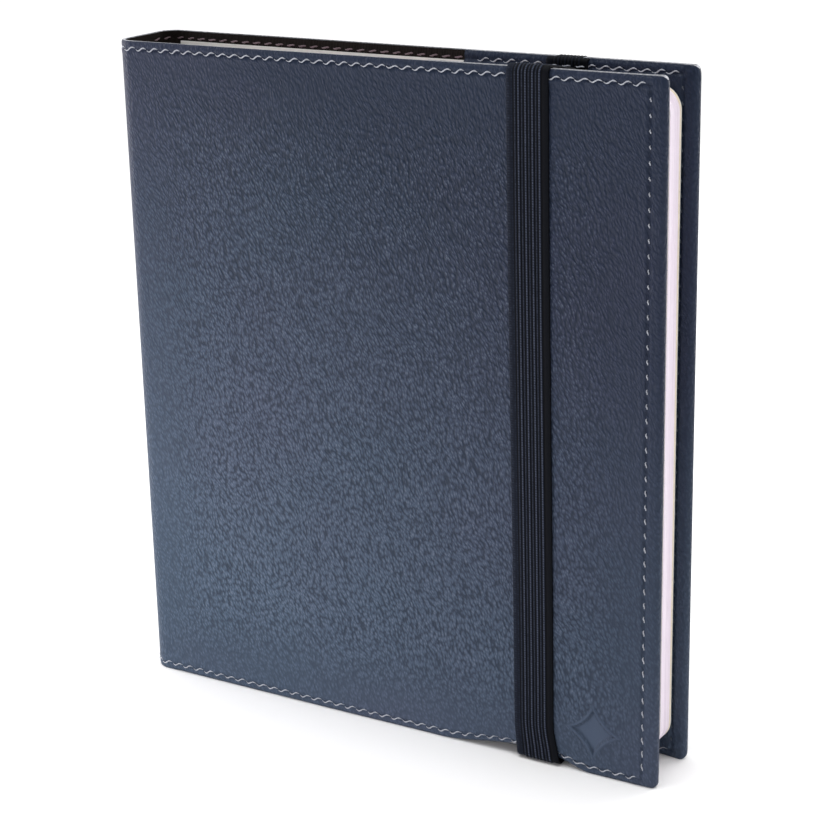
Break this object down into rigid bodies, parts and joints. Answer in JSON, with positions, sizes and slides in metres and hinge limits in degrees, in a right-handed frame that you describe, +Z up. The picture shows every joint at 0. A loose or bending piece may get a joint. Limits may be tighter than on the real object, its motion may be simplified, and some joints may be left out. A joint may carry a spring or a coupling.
{
  "type": "pilot logbook",
  "caption": "Upright leatherette logbook cover with stitched pocket flaps, a ribbed elastic closing band and a sewn page refill.",
  "frame": {"origin": "middle of the base of the closed book, on the surface that it stands on", "axes": "+Z up along the spine, -Y out of the front cover, -X towards the spine and +X towards the fore-edge"},
  "size_m": [0.212, 0.0331, 0.24],
  "materials": {
    "cover_leather": "satin pebbled leatherette",
    "cover_lining": "ribbed matte fabric",
    "cover_board": "matte",
    "seam_thread": "satin thread",
    "elastic": "ribbed matte elastic",
    "card": "matte card",
    "page_paper": "matte uncoated",
    "spine_glue_strip": "matte"
  },
  "bodies": {
    "back_cover": {"back_cover_leather": "cover_leather", "back_cover_board": "cover_board", "back_cover_lining": "cover_lining", "back_seam_top": "seam_thread", "back_seam_bottom": "seam_thread", "back_seam_fore": "seam_thread", "back_card_cover": "card", "back_endpaper": "card", "back_section_1": "page_paper", "back_section_2": "page_paper", "back_section_3": "page_paper", "back_spine_strip": "spine_glue_strip", "band_end_top": "elastic", "band_end_bottom": "elastic", "band_tack_stitches": "seam_thread"},
    "spine": {"spine_leather": "cover_leather", "spine_lining": "cover_lining", "spine_seams": "seam_thread"},
    "front_cover": {"front_cover_leather": "cover_leather", "front_cover_board": "cover_board", "front_cover_lining": "cover_lining", "front_seam_top": "seam_thread", "front_seam_bottom": "seam_thread", "front_seam_fore": "seam_thread", "front_card_cover": "card"},
    "front_pages": {"front_endpaper": "card", "front_section_1": "page_paper", "front_section_2": "page_paper", "front_section_3": "page_paper", "front_spine_strip": "spine_glue_strip"},
    "front_leaves": {"middle_leaves_front": "page_paper"},
    "back_leaves": {"middle_leaves_back": "page_paper"},
    "band": {"elastic_band": "elastic"}
  },
  "joints": [
    {"name": "cover_open", "type": "hinge", "parent": "back_cover", "child": "spine", "pos_m": [-0.099, 0.01655, 0.12], "axis": [0, 0, -1], "range_deg": [0, 90]},
    {"name": "front_cover_fold", "type": "hinge", "parent": "spine", "child": "front_cover", "pos_m": [-0.099, -0.01545, 0.12], "axis": [0, 0, -1], "range_deg": [0, 90]},
    {"name": "front_pages_turn", "type": "hinge", "parent": "back_cover", "child": "front_pages", "pos_m": [-0.0988, -0.00145, 0.12], "axis": [0, 0, -1], "range_deg": [0, 180]},
    {"name": "front_leaves_turn", "type": "hinge", "parent": "back_cover", "child": "front_leaves", "pos_m": [-0.0988, -0.00145, 0.12], "axis": [0, 0, -1], "range_deg": [0, 150]},
    {"name": "back_leaves_turn", "type": "hinge", "parent": "back_cover", "child": "back_leaves", "pos_m": [-0.0988, -0.00145, 0.12], "axis": [0, 0, -1], "range_deg": [0, 30]},
    {"name": "band_release", "type": "hinge", "parent": "back_cover", "child": "band", "pos_m": [0.06, 0.0089, 0.12], "axis": [0, 0, 1], "range_deg": [0, 180], "deforming": ["elastic_band"]}
  ],
  "couplings": [
    {"joint": "front_cover_fold", "follows": "cover_open", "ratio": 1},
    {"joint": "front_pages_turn", "follows": "cover_open", "ratio": 2},
    {"joint": "front_leaves_turn", "follows": "cover_open", "ratio": 1.6666},
    {"joint": "back_leaves_turn", "follows": "cover_open", "ratio": 0.3333},
    {"joint": "band_release", "follows": "cover_open", "ratio": 2}
  ]
}
